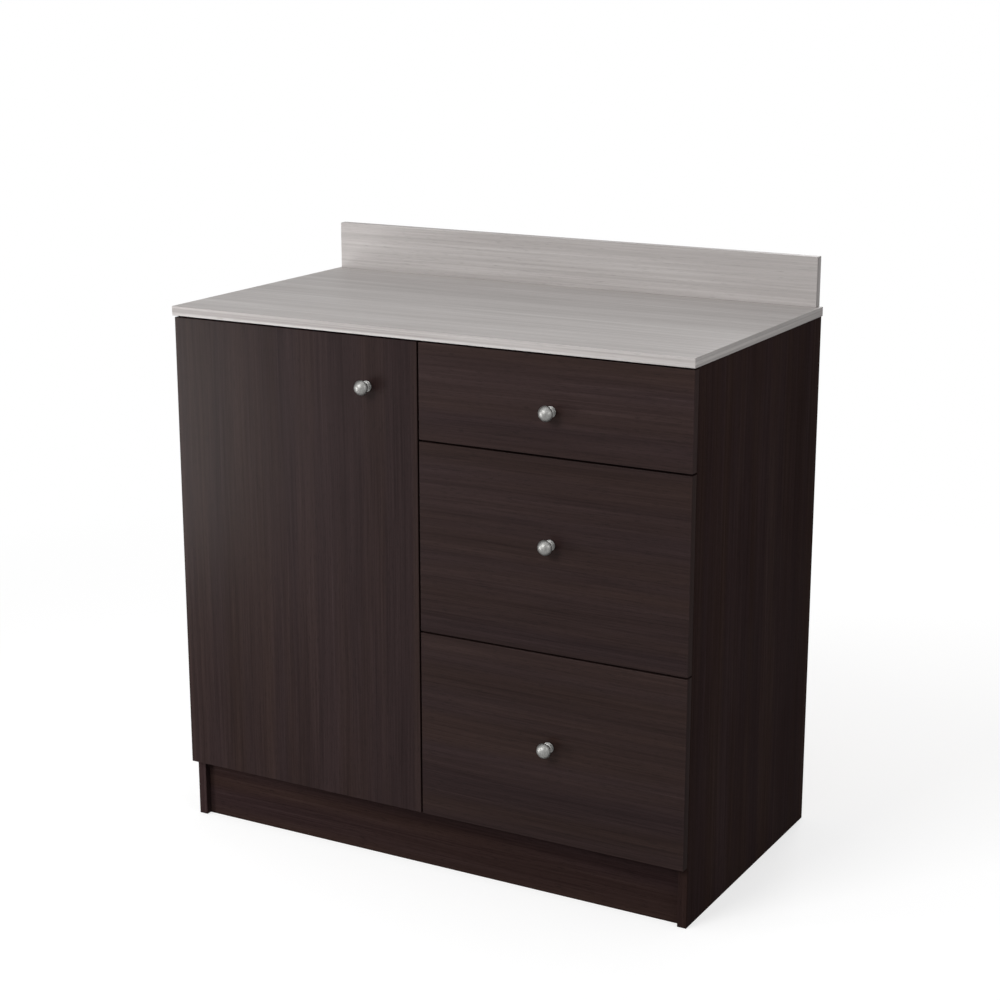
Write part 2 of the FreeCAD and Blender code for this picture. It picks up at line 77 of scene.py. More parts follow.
print("a colour as linear light:", [round(part, 4) for part in paint(56, 46, 44)[:3]])

# %% [markdown]
# ## Nodes
# A finish is a small graph of nodes. Dragging nodes by hand is fine for one material, but a cabinet has
# two dozen boards whose finishes differ mostly in where the grain runs. So a short class holds one graph
# while it is being built and adds nodes to it in one line each.

# %% A graph of nodes
AXES = "xyz"


class Graph:
    """A tree of nodes while it is being built."""

    def __init__(self, tree):
        self.tree = tree

    def add(self, kind, inputs, **settings):
        """A node of a kind. Each input is a plain value or another node's output."""
        made = self.tree.nodes.new("ShaderNode" + kind)
        for key, value in settings.items():
            setattr(made, key, value)
        for key, value in inputs.items():
            self.feed(made.inputs[key], value)
        return made

    def feed(self, socket, value):
        """Link an output to a socket, or set the socket's own value."""
        if isinstance(value, bpy.types.NodeSocket):
            self.tree.links.new(value, socket)
        else:
            socket.default_value = value

    def compute(self, operation, first, second=0.0):
        """One step of arithmetic on numbers."""
        return self.add("Math", {0: first, 1: second}, operation=operation).outputs[0]

    def weigh(self, *shares):
        """The sum of values, each times its weight."""
        total = self.compute("MULTIPLY", *shares[0])
        for value, weight in shares[1:]:
            total = self.compute("ADD", total, self.compute("MULTIPLY", value, weight))
        return total

    def spread(self, value, low, high, to_low=0.0, to_high=1.0):
        """A value stretched from one range to another and held inside it."""
        inputs = {0: value, 1: low, 2: high, 3: to_low, 4: to_high}
        return self.add("MapRange", inputs).outputs[0]

    def ramp(self, value, *stops):
        """Colours along a value, each stop a position and a colour."""
        made = self.add("ValToRGB", {"Fac": value})
        elements = made.color_ramp.elements
        while len(elements) < len(stops):
            elements.new(0.5)
        for element, (position, colour) in zip(elements, stops):
            element.position = position
            element.color = colour
        return made.outputs["Color"]

    def mix(self, share, first, second):
        """Two colours mixed by a share."""
        return self.add("Mix", {0: share, 6: first, 7: second}, data_type="RGBA").outputs[2]

    def part(self, vector, axis):
        """One coordinate of a vector."""
        return self.add("SeparateXYZ", {0: vector}).outputs[AXES.index(axis)]


print("kinds of step in a graph:", len([name for name in vars(Graph) if not name.startswith("_")]))

# %% [markdown]
# ## A finish
# Most patterns here are noise on Object coordinates, so they lie in the piece at their real size and need
# no unwrapping. Noise becomes wood, brushing or plating when it is drawn out along one axis. Each finish
# also shifts its noise by a random step, so that no two boards carry the same streaks.

# %% A material under construction
NOISE_MIDDLE = (0.5, 0.5, 0.5)
SHIFT_REACH = 50


class Finish(Graph):
    """One material while it is being built: its shader and the coordinates that its patterns read."""

    def __init__(self, name, seed=0):
        self.material = bpy.data.materials.new(name)
        self.material.use_nodes = True
        super().__init__(self.material.node_tree)
        self.shader = self.tree.nodes["Principled BSDF"]
        coordinates = self.add("TexCoord", {})
        self.place = coordinates.outputs["Object"]
        self.facing = coordinates.outputs["Normal"]
        self.shift = np.random.default_rng(seed).uniform(-SHIFT_REACH, SHIFT_REACH, 3).tolist()

    def wander(self, reach, drift):
        """Let the pattern's lines drift sideways a little over a given reach."""
        slow = self.add("TexNoise", {"Vector": self.place, "Scale": 1 / reach, "Detail": 1.0})
        inputs = {0: slow.outputs["Color"], 1: NOISE_MIDDLE}
        centred = self.add("VectorMath", inputs, operation="SUBTRACT")
        inputs = {0: centred.outputs[0], "Scale": drift}
        scaled = self.add("VectorMath", inputs, operation="SCALE")
        self.place = self.add("VectorMath", {0: self.place, 1: scaled.outputs[0]}).outputs[0]

    def marks(self, along, width, length, detail=2.0, rough=0.5):
        """Noise drawn out into marks of a width and a length, both in metres, that lie along one axis."""
        scale = [1 / length if axis == along else 1 / width for axis in AXES]
        mapped = self.add("Mapping", {"Vector": self.place, "Location": self.shift, "Scale": scale})
        inputs = {"Vector": mapped.outputs[0], "Scale": 1.0, "Detail": detail, "Roughness": rough}
        return self.add("TexNoise", inputs).outputs["Fac"]

    def relief(self, height, strength, depth):
        """Bump from a height, with its greatest depth in metres."""
        bump = self.add("Bump", {"Strength": strength, "Distance": depth, "Height": height})
        self.feed(self.shader.inputs["Normal"], bump.outputs["Normal"])

    def set(self, **sockets):
        """Feed the shader's sockets by their names, with spaces written as underscores."""
        for name, value in sockets.items():
            self.feed(self.shader.inputs[name.replace("_", " ")], value)
        return self.material


def dress(node, material):
    """Give a solid of the frame its finish."""
    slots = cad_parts[node].data.materials
    slots.clear()
    slots.append(material)


print("noise is shifted by up to", SHIFT_REACH, "units along each axis")

# %% [markdown]
# ## Espresso laminate
# The boards are chipboard under a printed sheet. The print shows straight dark wood: soft warm and cool
# bands, long streaks, hair lines and short open pores. A photograph of wood would carry all that, but it
# would blur close up and repeat. Here each kind of mark is noise with its own width and length in metres,
# so it stays sharp at any distance. The print runs along one axis of each board: up the door and the
# sides, across the drawers.

# %% The espresso print
ESPRESSO_MARKS = {
    "band": dict(width=0.060, length=1.6, detail=2.0),
    "hue": dict(width=0.045, length=1.1, detail=1.0),
    "streak": dict(width=0.0065, length=0.42, detail=3.0, rough=0.6),
    "hair": dict(width=0.0018, length=0.18, detail=2.0),
    "pore": dict(width=0.0008, length=0.016, detail=1.0),
}
ESPRESSO_WEIGHTS = {"band": 0.28, "streak": 0.40, "hair": 0.32}
ESPRESSO_WANDER = dict(reach=0.45, drift=0.008)
COOL_BROWNS = ((0.2, paint(29, 19, 19)), (0.5, paint(48, 36, 36)), (0.68, paint(61, 48, 48)))
WARM_BROWNS = ((0.2, paint(30, 19, 17)), (0.5, paint(50, 37, 34)), (0.68, paint(63, 49, 45)))
WARMTH_RANGE = (0.36, 0.64)
PORE_RANGE = (0.60, 0.68)
PORE_BROWN = paint(26, 20, 19)
PORE_SHARE = 0.5
PORE_HEIGHT = -0.6
HAIR_HEIGHT = 0.5
EDGE_LIFT = 0.015


def espresso_print(finish, along, edge, tone_and_shade):
    """Colour and height of the print: marks added by weight, warm or cool, and darkened in the pores."""
    finish.wander(**ESPRESSO_WANDER)
    mark = {name: finish.marks(along, **sizes) for name, sizes in ESPRESSO_MARKS.items()}
    weighed = [(mark[name], weight) for name, weight in ESPRESSO_WEIGHTS.items()]
    tone = finish.compute("ADD", finish.weigh(*weighed, (edge, EDGE_LIFT)), tone_and_shade)
    warmth = finish.spread(mark["hue"], *WARMTH_RANGE)
    colour = finish.mix(warmth, finish.ramp(tone, *COOL_BROWNS), finish.ramp(tone, *WARM_BROWNS))
    pores = finish.spread(mark["pore"], *PORE_RANGE)
    colour = finish.mix(finish.compute("MULTIPLY", pores, PORE_SHARE), colour, PORE_BROWN)
    height = finish.weigh((mark["hair"], HAIR_HEIGHT), (pores, PORE_HEIGHT))
    return colour, height


print("kinds of mark in the print:", ", ".join(ESPRESSO_MARKS))

# %% [markdown]
# ## Grey worktop laminate
# The worktop has a paler print of fine straight lines that run along its length, with soft silvery
# patches. The same tool makes it: wide faint clouds, narrow lines and hairs, in greys that lean slightly
# warm.

# %% The grey print
GREY_MARKS = {
    "cloud": dict(width=0.06, length=0.9, detail=2.0),
    "line": dict(width=0.0065, length=0.50, detail=3.0, rough=0.65),
    "hair": dict(width=0.0018, length=0.20, detail=2.0),
    "fleck": dict(width=0.0009, length=0.02, detail=1.0),
    "edge": dict(width=0.0042, length=1.4, detail=2.0),
}
GREY_WEIGHTS = {"cloud": 0.30, "line": 0.45, "hair": 0.25}
GREY_HEIGHTS = {"line": 0.5, "hair": 0.4}
GREY_WANDER = dict(reach=0.5, drift=0.004)
GREYS = ((0.33, paint(162, 157, 155)), (0.5, paint(179, 174, 172)), (0.67, paint(196, 192, 190)))
EDGE_MIDDLE = 0.5
EDGE_LINES = 0.9
FLECK_RANGE = (0.62, 0.70)
FLECK_GREY = paint(140, 135, 133)
FLECK_SHARE = 0.35
FLECK_HEIGHT = -0.4


def grey_print(finish, along, edge, tone_and_shade):
    """Colour and height of the print: marks added by weight, lined on the edges, then flecked."""
    finish.wander(**GREY_WANDER)
    mark = {name: finish.marks(along, **sizes) for name, sizes in GREY_MARKS.items()}
    tone = finish.weigh(*((mark[name], weight) for name, weight in GREY_WEIGHTS.items()))
    lined = finish.compute("MULTIPLY", edge, finish.compute("SUBTRACT", mark["edge"], EDGE_MIDDLE))
    tone = finish.compute("ADD", finish.weigh((tone, 1.0), (lined, EDGE_LINES)), tone_and_shade)
    flecks = finish.spread(mark["fleck"], *FLECK_RANGE)
    share = finish.compute("MULTIPLY", flecks, FLECK_SHARE)
    colour = finish.mix(share, finish.ramp(tone, *GREYS), FLECK_GREY)
    raised = [(mark[name], rise) for name, rise in GREY_HEIGHTS.items()]
    return colour, finish.weigh(*raised, (flecks, FLECK_HEIGHT))


print("kinds of mark in the print:", ", ".join(GREY_MARKS))

# %% [markdown]
# ## Boards: laminate, edge band and raw chipboard
# A laminated board has three kinds of surface. Its two faces carry the print. The edges that show are
# covered by a thin band of the same print, laid along the edge. The edges that nobody should see, and the
# walls of drilled holes, are raw chipboard. They could be separate materials on picked faces, but the
# solids stay as they are, so the finish sorts the three out by itself: by which way the surface faces and
# by how near it lies to a banded edge. The worktop's underside is not printed: it carries dark backing
# paper, made dark to deepen the shade in the gap under its front edge, so it is partly painted shade and
# shows as a black line there.

# %% Faces, edges and raw chipboard
BAND_DEPTH = 1.2 * MILLIMETRE
FACE_LIMIT = 0.6
CHIP_SIZE = 2.6 * MILLIMETRE
CHIP_TONES = ((0.0, paint(104, 78, 52)), (0.45, paint(160, 127, 90)), (1.0, paint(201, 171, 130)))
CHIP_GAPS = (0.45, 0.85, 0.0, 0.6)
CHIP_GAP_BROWN = paint(70, 50, 33)
BACKING_AND_GAP_SHADE_BROWNS = ((0.35, paint(32, 26, 24)), (0.65, paint(47, 39, 36)))
BACKING_AND_GAP_SHADE_MOTTLES = dict(width=0.004, length=0.009, detail=3.0, rough=0.6)


def chipboard(finish):
    """Colour of a sawn edge: cells of random tone for the chips, darker where the cells meet."""
    place = finish.add("Mapping", {"Vector": finish.place, "Location": finish.shift}).outputs[0]
    cells = finish.add("TexVoronoi", {"Vector": place, "Scale": 1 / CHIP_SIZE})
    tone = finish.add("SeparateColor", {0: cells.outputs["Color"]}).outputs[0]
    gaps = finish.spread(cells.outputs["Distance"], *CHIP_GAPS)
    return finish.mix(gaps, finish.ramp(tone, *CHIP_TONES), CHIP_GAP_BROWN)


def face_share(finish, axis):
    """1 where the surface looks along an axis, either way: the size of its normal there passes a limit."""
    looking = finish.compute("ABSOLUTE", finish.part(finish.facing, axis))
    return finish.compute("GREATER_THAN", looking, FACE_LIMIT)


def turn_at_ends(finish, along, thick):
    """Swap two coordinates on the end faces, so that the print there runs along the edge, not into it."""
    across = AXES.replace(along, "").replace(thick, "")
    swapped = AXES.translate(str.maketrans(along + across, across + along))
    parts = {axis: finish.part(finish.place, axis) for axis in AXES}
    inputs = {slot: parts[axis] for slot, axis in enumerate(swapped)}
    turned = finish.add("CombineXYZ", inputs).outputs[0]
    at_end = face_share(finish, along)
    mixed = finish.add("Mix", {0: at_end, 4: finish.place, 5: turned}, data_type="VECTOR")
    finish.place = mixed.outputs[1]


def raw_share(finish, place, node, covered, banded):
    """1 where a board is raw: not a face, and further than the band's depth from every banded edge."""
    low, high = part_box(node)
    for side, axis in banded:
        at = finish.part(place, axis)
        if side == "-":
            near = finish.compute("LESS_THAN", at, low[AXES.index(axis)] + BAND_DEPTH)
        else:
            near = finish.compute("GREATER_THAN", at, high[AXES.index(axis)] - BAND_DEPTH)
        covered = finish.compute("MAXIMUM", covered, near)
    return finish.compute("SUBTRACT", 1.0, covered)


def backing_and_gap_shade(finish, colour):
    """Cover the face that looks down with dark backing paper, painted shade for the gap under the front
    edge: soft mottles in two browns.
    """
    down = finish.compute("LESS_THAN", finish.part(finish.facing, "z"), -FACE_LIMIT)
    mottles = finish.marks("x", **BACKING_AND_GAP_SHADE_MOTTLES)
    return finish.mix(down, colour, finish.ramp(mottles, *BACKING_AND_GAP_SHADE_BROWNS))


print("an edge band reaches", round(BAND_DEPTH / MILLIMETRE, 1), "mm into a board")

# %% [markdown]
# ## Sheen of the boards
# The door and the drawer fronts have a thin lacquer, which shows a soft sheen under a low lamp. Plain
# gloss would turn a dark board grey at a flat angle, so the lacquer is a clear coat of small weight and
# high index, which stays about the same at every angle. Each sheet also has a tone of its own: the fronts
# are darkened by about what their lacquer reflects, the top drawer front is lighter than the other fronts,
# and the toe kick and the right side are darker as painted shade.

# %% Finish one board
COAT_ROUGHNESS = 0.31
COAT_INDEX = 4.0
DULL_DARK = dict(low=0.44, high=0.56, grain=0.08, relief=0.20, specular=0.0015, coat=0.0)
SATIN_DARK = {**DULL_DARK, "coat": 0.016}
SATIN_PALE = dict(low=0.42, high=0.52, grain=0.08, relief=0.12, specular=0.12, coat=0.0)
SMUDGES = dict(width=0.09, length=0.16, detail=3.0)
SMUDGE_RANGE = (0.3, 0.7)
RAW_ROUGHNESS = 0.85
PRINT_DEPTH = 0.25 * MILLIMETRE


def dress_board(node, board_print, along, thick, banded, gloss, tone_and_shade=0.0, backed=False):
    """Give a board its print along one axis, bands on the named edges and raw chipboard elsewhere."""
    finish = Finish(node + "_finish", seed=sum(map(ord, node)))
    place = finish.place
    raw_colour = chipboard(finish)
    face = face_share(finish, thick)
    raw = raw_share(finish, place, node, face, banded)
    turn_at_ends(finish, along, thick)
    edge = finish.compute("SUBTRACT", 1.0, face)
    colour, height = board_print(finish, along, edge, tone_and_shade)
    if backed:
        colour = backing_and_gap_shade(finish, colour)
    smudge = finish.marks(along, **SMUDGES)
    sheen = finish.spread(smudge, *SMUDGE_RANGE, gloss["low"], gloss["high"])
    sheen = finish.weigh((sheen, 1.0), (height, gloss["grain"]))
    rough = finish.compute("MAXIMUM", sheen, finish.compute("MULTIPLY", raw, RAW_ROUGHNESS))
    finish.relief(height, gloss["relief"], PRINT_DEPTH)
    finish.set(Coat_Weight=gloss["coat"], Coat_Roughness=COAT_ROUGHNESS, Coat_IOR=COAT_INDEX)
    finish.set(Roughness=rough, Specular_IOR_Level=gloss["specular"])
    dress(node, finish.set(Base_Color=finish.mix(raw, colour, raw_colour)))


print("weight of the lacquer on the fronts:", SATIN_DARK["coat"])

# %% Dress the boards
# Darker tones on the toe kick and the right side panel are painted shade; the fronts' lower tones offset
# what their lacquer reflects.
SHEET_TONES_AND_SHADE = {"door_panel": -0.11, "bottom_drawer_front": -0.10, "middle_drawer_front": -0.12,
               "top_drawer_front": -0.04, "toe_kick": -0.04, "right_side_panel": -0.05}
ESPRESSO_BOARDS = {
    "left_side_panel": ("z", "x", ["-y"]),
    "right_side_panel": ("z", "x", ["-y"]),
    "center_divider": ("z", "x", ["-y"]),
    "bottom_panel": ("x", "z", ["-y"]),
    "shelf": ("x", "z", ["-y"]),
    "front_top_rail": ("x", "z", ["-y"]),
    "rear_top_rail": ("x", "y", ["-z"]),
    "toe_kick": ("x", "y", []),
    "rear_plinth": ("x", "y", []),
    "door_panel": ("z", "y", ["-x", "+x", "-z", "+z"]),
}
DRAWERS = ("bottom_drawer_", "middle_drawer_", "top_drawer_")
for drawer in DRAWERS:
    ESPRESSO_BOARDS[drawer + "front"] = ("x", "y", ["-x", "+x", "-z", "+z"])
    ESPRESSO_BOARDS[drawer + "left_side"] = ("y", "x", ["+z", "-z"])
    ESPRESSO_BOARDS[drawer + "right_side"] = ("y", "x", ["+z", "-z"])
    ESPRESSO_BOARDS[drawer + "back"] = ("x", "y", ["+z"])
for node, layout in ESPRESSO_BOARDS.items():
    gloss = SATIN_DARK if node.endswith(("door_panel", "_front")) else DULL_DARK
    dress_board(node, espresso_print, *layout, gloss, SHEET_TONES_AND_SHADE.get(node, 0.0))
# The worktop's dark backing on its underside is partly painted shade for the gap under its front edge.
dress_board("countertop", grey_print, "x", "z", ["-x", "+x", "-y"], SATIN_PALE, backed=True)
dress_board("backsplash", grey_print, "x", "y", ["-x", "+x", "+z"], SATIN_PALE)
print("boards dressed:", len(ESPRESSO_BOARDS) + 2)

# %% [markdown]
# ## Hardboard
# The back of the cabinet and the drawer bottoms are thin sheets of pressed fibre. One face is smooth. The
# other was pressed against a wire screen and keeps its weave. Two crossed sine waves make the weave, and
# short random fibres make the rest. The smooth face of the back sheet looks into the cupboard and carries
# a dark print.

# %% Hardboard finishes
WEAVE_PITCH = 1.8 * MILLIMETRE
WEAVE_DEPTH = 0.3 * MILLIMETRE
WEAVE_RELIEF = 0.35
WEAVE_HEIGHT = 0.5
WEAVE_SHADE = 0.22
WEAVE_HOLLOW_SHADE_BROWN = paint(60, 42, 28)
FIBRES = dict(width=0.0011, length=0.006, detail=3.0, rough=0.7)
FIBRE_HEIGHT = 0.3
FIBRE_CLOUDS = dict(width=0.11, length=0.14, detail=3.0)
FIBRE_WEIGHTS = (0.42, 0.40, 0.18)
FIBRE_BROWNS = ((0.32, paint(92, 66, 44)), (0.5, paint(124, 92, 64)), (0.7, paint(150, 116, 84)))
DARK_PAPER = ((0.35, paint(40, 32, 31)), (0.65, paint(56, 46, 44)))
PAPER_WEIGHT = 0.5
WOVEN_ROUGHNESS = 0.86
SMOOTH_ROUGHNESS = 0.55
PAPER_SPECULAR = 0.03
BARE_SPECULAR = 0.3


def weave_of(finish, plane):
    """Height of a woven screen: the sine along one axis times the sine along the other."""
    places = [finish.part(finish.place, axis) for axis in plane]
    angles = [finish.compute("MULTIPLY", place, math.tau / WEAVE_PITCH) for place in places]
    return finish.compute("MULTIPLY", *(finish.compute("SINE", angle) for angle in angles))


def dress_hardboard(node, thick, smooth_side, plane, papered):
    """Browns from crossed fibres and clouds, the weave on one side with painted shade in its hollows, and
    paper on the other if asked.
    """
    finish = Finish(node + "_finish", seed=sum(map(ord, node)))
    fibres, crossed = (finish.marks(axis, **FIBRES) for axis in plane)
    clouds = finish.marks(plane[0], **FIBRE_CLOUDS)
    brown = finish.ramp(finish.weigh(*zip((fibres, crossed, clouds), FIBRE_WEIGHTS)), *FIBRE_BROWNS)
    facing = finish.compute("MULTIPLY", finish.part(finish.facing, thick), smooth_side)
    smooth = finish.compute("GREATER_THAN", facing, FACE_LIMIT)
    screened = finish.compute("SUBTRACT", 1.0, smooth)
    woven = finish.compute("MULTIPLY", weave_of(finish, plane), screened)
    # The weave's hollows are painted darker: painted shade in the recesses.
    colour = finish.mix(finish.spread(woven, -1.0, 1.0, WEAVE_SHADE, 0.0), brown, WEAVE_HOLLOW_SHADE_BROWN)
    if papered:
        tone = finish.weigh((fibres, PAPER_WEIGHT), (clouds, PAPER_WEIGHT))
        colour = finish.mix(smooth, colour, finish.ramp(tone, *DARK_PAPER))
    height = finish.weigh((woven, WEAVE_HEIGHT), (fibres, FIBRE_HEIGHT))
    finish.relief(height, WEAVE_RELIEF, WEAVE_DEPTH)
    finish.set(Roughness=finish.spread(smooth, 0.0, 1.0, WOVEN_ROUGHNESS, SMOOTH_ROUGHNESS))
    finish.set(Specular_IOR_Level=PAPER_SPECULAR if papered else BARE_SPECULAR)
    dress(node, finish.set(Base_Color=colour))


dress_hardboard("back_panel", "y", -1.0, "xz", papered=True)
for drawer in DRAWERS:
    dress_hardboard(drawer + "bottom", "z", 1.0, "xy", papered=False)
print("hardboard sheets dressed:", 1 + len(DRAWERS))

# %% [markdown]
# ## Plated steel
# Screws, cams, hinges and rails are zinc-plated steel: cool grey, with soft clouds in the plating and the
# fine lines that the rolling mill leaves. The nails are brighter. A metal has little colour of its own, so
# most of its look comes from roughness, and the lines in the roughness are what makes it believable.

# %% Zinc and bright nails
PLATING_CLOUDS = dict(width=0.025, length=0.08, detail=2.0)
PLATING_LINES = dict(width=0.0007, length=0.07, detail=3.0, rough=0.6)
CLOUD_WEIGHT = 0.35
LINE_WEIGHT = 0.65
GREY_RANGE = (0.36, 0.64)
ROUGH_RANGE = (0.35, 0.65)
PLATING_RELIEF = 0.08
PLATING_DEPTH = 0.05 * MILLIMETRE


def plated_finish(name, light, dark, low, high):
    """Plating: wide clouds and fine lines, added by weight, set both the grey and the roughness."""
    finish = Finish(name, seed=len(name))
    clouds = finish.marks("y", **PLATING_CLOUDS)
    lines = finish.marks("y", **PLATING_LINES)
    tone = finish.weigh((clouds, CLOUD_WEIGHT), (lines, LINE_WEIGHT))
    finish.relief(lines, PLATING_RELIEF, PLATING_DEPTH)
    finish.set(Roughness=finish.spread(tone, *ROUGH_RANGE, low, high), Metallic=1.0)
    return finish.set(Base_Color=finish.mix(finish.spread(tone, *GREY_RANGE), dark, light))


zinc = plated_finish("zinc_finish", paint(178, 180, 183), paint(148, 151, 155), 0.30, 0.40)
bright = plated_finish("nail_finish", paint(196, 194, 190), paint(166, 164, 160), 0.28, 0.38)
print("plated finishes:", zinc.name, "and", bright.name)

# %% [markdown]
# ## Dowels and bumpers
# The beech dowels sit inside the boards and the clear bumpers behind the door. They hardly show, so plain
# colours would pass in most pictures, but they are finished too, because the pieces may be taken apart.

# %% Beech and clear rubber
BEECH_STREAKS = dict(width=0.0012, length=0.03, detail=3.0)
BEECH_RAYS = dict(width=0.0006, length=0.004)
BEECH_TONES = ((0.35, paint(190, 150, 108)), (0.65, paint(222, 186, 142)))
BEECH_ROUGHNESS = (0.3, 0.7, 0.6, 0.75)
BEECH_RELIEF = 0.2
BEECH_DEPTH = 0.1 * MILLIMETRE
RAY_RANGE = (0.58, 0.66)
RAY_SHARE = 0.4
RAY_BROWN = paint(150, 108, 70)
RUBBER_CLOUDS = dict(width=0.002, length=0.002, detail=3.0)
RUBBER_TONES = ((0.3, paint(196, 196, 190)), (0.7, paint(224, 224, 218)))
RUBBER_ROUGHNESS = (0.3, 0.7, 0.25, 0.4)


def beech_finish():
    """Pale wood: streaks along the dowel and short darker rays."""
    finish = Finish("beech_finish", seed=5)
    streaks = finish.marks("x", **BEECH_STREAKS)
    rays = finish.spread(finish.marks("x", **BEECH_RAYS), *RAY_RANGE)
    share = finish.compute("MULTIPLY", rays, RAY_SHARE)
    colour = finish.mix(share, finish.ramp(streaks, *BEECH_TONES), RAY_BROWN)
    finish.relief(streaks, BEECH_RELIEF, BEECH_DEPTH)
    return finish.set(Base_Color=colour, Roughness=finish.spread(streaks, *BEECH_ROUGHNESS))


def bumper_finish():
    """Soft clear rubber: milky, with faint clouds."""
    finish = Finish("bumper_finish", seed=8)
    clouds = finish.marks("y", **RUBBER_CLOUDS)
    rough = finish.spread(clouds, *RUBBER_ROUGHNESS)
    return finish.set(Base_Color=finish.ramp(clouds, *RUBBER_TONES), Roughness=rough)


finishes = {"zinc_steel": zinc, "bright_steel": bright, "beech": beech_finish(),
            "clear_bumper": bumper_finish()}
dressed = 0
for name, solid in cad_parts.items():
    slot = solid.data.materials[0].name
    if slot in finishes:
        dress(name, finishes[slot])
        dressed += 1
print("small parts dressed:", dressed)

# %% [markdown]
# ## Surfaces from arrays
# Three kinds of piece are made again as finer surfaces: the turned knobs, the rolled drawer rails and the
# hinge arms. In Blender they could come from the Screw, Solidify and Bevel modifiers. Here numpy works the
# points out instead, as whole arrays, so that each formula stays in view. It starts with flat lines: an
# arc, a way to round corners, and the direction square to a line.

# %% Lines and arcs
def arc(start, middle, stop, count=24):
    """Points on the circle through three points: equal distances give its centre, then even angles."""
    a, b, c = (np.array(point, float) for point in (start, middle, stop))
    rows = np.array([b - a, c - b])
    centre = np.linalg.solve(rows, np.sum(rows * np.array([(a + b) / 2, (b + c) / 2]), axis=1))
    angle = np.unwrap([math.atan2(*(point - centre)[::-1]) for point in (a, b, c)])
    turn = np.linspace(angle[0], angle[2], count)
    return centre + np.linalg.norm(a - centre) * np.stack([np.cos(turn), np.sin(turn)], axis=1)


def length_along(line):
    """Distance from the line's start to each of its points: the running sum of its steps."""
    return np.concatenate([[0], np.cumsum(np.linalg.norm(np.diff(line, axis=0), axis=1))])


def soften(line, step, passes):
    """Space a line's points evenly by its own length, then round its corners by a running mean of three."""
    length = length_along(line)
    even = np.linspace(0, length[-1], int(length[-1] / step) + 1)
    line = np.stack([np.interp(even, length, line[:, side]) for side in range(2)], axis=1)
    for _ in range(passes):
        line[1:-1] = (line[:-2] + line[1:-1] + line[2:]) / 3
    return line


def square_to(line):
    """Unit vectors square to a flat line: its slope, turned by a quarter."""
    slope = np.gradient(line, axis=0)
    slope /= np.linalg.norm(slope, axis=1, keepdims=True)
    return np.stack([-slope[:, 1], slope[:, 0]], axis=1)


print("points on a quarter circle:", len(arc((1, 0), (0.7071, 0.7071), (0, 1))))

# %% [markdown]
# ## From points to pieces
# A mesh needs points and faces. The knobs and the hinge arms are stacks of rings, every ring one outline
# at one step along the piece, so their faces follow from counting. Smooth shading everywhere would smear
# light over the edges, so edges sharper than a limit stay sharp.

# %% Rings to meshes
SHARP_ANGLE = math.radians(40)


def skin(name, points, faces):
    """A closed mesh from points and faces: the faces turned outward, smooth except at sharp edges."""
    mesh = bpy.data.meshes.new(name)
    mesh.from_pydata(points.tolist(), [], faces)
    shell = bmesh.new()
    shell.from_mesh(mesh)
    bmesh.ops.recalc_face_normals(shell, faces=shell.faces)
    shell.to_mesh(mesh)
    shell.free()
    mesh.polygons.foreach_set("use_smooth", np.ones(len(faces), bool))
    mesh.set_sharp_from_angle(angle=SHARP_ANGLE)
    piece = bpy.data.objects.new(name, mesh)
    bpy.context.scene.collection.objects.link(piece)
    return piece


def ring_piece(name, *stacks):
    """Skin stacks of rings: four-sided faces from each ring to the next and one flat face on each end."""
    faces = []
    start = 0
    for stack in stacks:
        rows, around = stack.shape[:2]
        row = start + np.arange(rows - 1)[:, None] * around
        here = np.arange(around)
        after = (here + 1) % around
        quads = np.stack([row + here, row + after, row + around + after, row + around + here], axis=-1)
        faces += quads.reshape(-1, 4).tolist()
        faces += [(start + here).tolist(), (start + (rows - 1) * around + here).tolist()]
        start += rows * around
    return skin(name, np.vstack([stack.reshape(-1, 3) for stack in stacks]), faces)


def take_over(piece, node, body, material):
    """Let a finer piece stand for a solid: it wears the finish, rides on the body and replaces the solid."""
    piece.data.materials.append(material)
    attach(piece, body)
    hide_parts(node)


print("edges stay sharp from", round(math.degrees(SHARP_ANGLE)), "degrees")

# %% [markdown]
# ## Knobs
# Each knob is solid metal, plated in satin nickel: a stepped foot against the front, a slim neck and a
# domed head. Its outline is drawn once, from the axis at the foot to the axis at the crown, and then
# turned, as on a lathe.

# %% Outline of a knob
KNOB_FOOT_RADIUS = 8.5 * MILLIMETRE
KNOB_FOOT_HEIGHT = 1.8 * MILLIMETRE
KNOB_STEP_RADIUS = 7.2 * MILLIMETRE
KNOB_STEP_HEIGHT = 3.2 * MILLIMETRE
KNOB_NECK_RADIUS = 4.75 * MILLIMETRE
KNOB_COVE = KNOB_STEP_RADIUS - KNOB_NECK_RADIUS
KNOB_NECK_TOP = 13 * MILLIMETRE
KNOB_RIM = 17 * MILLIMETRE
QUARTER_MIDDLE = 1 - math.sqrt(0.5)
FLARE_OUT = 0.72
FLARE_UP = 0.30
DOME_POINTS = 48


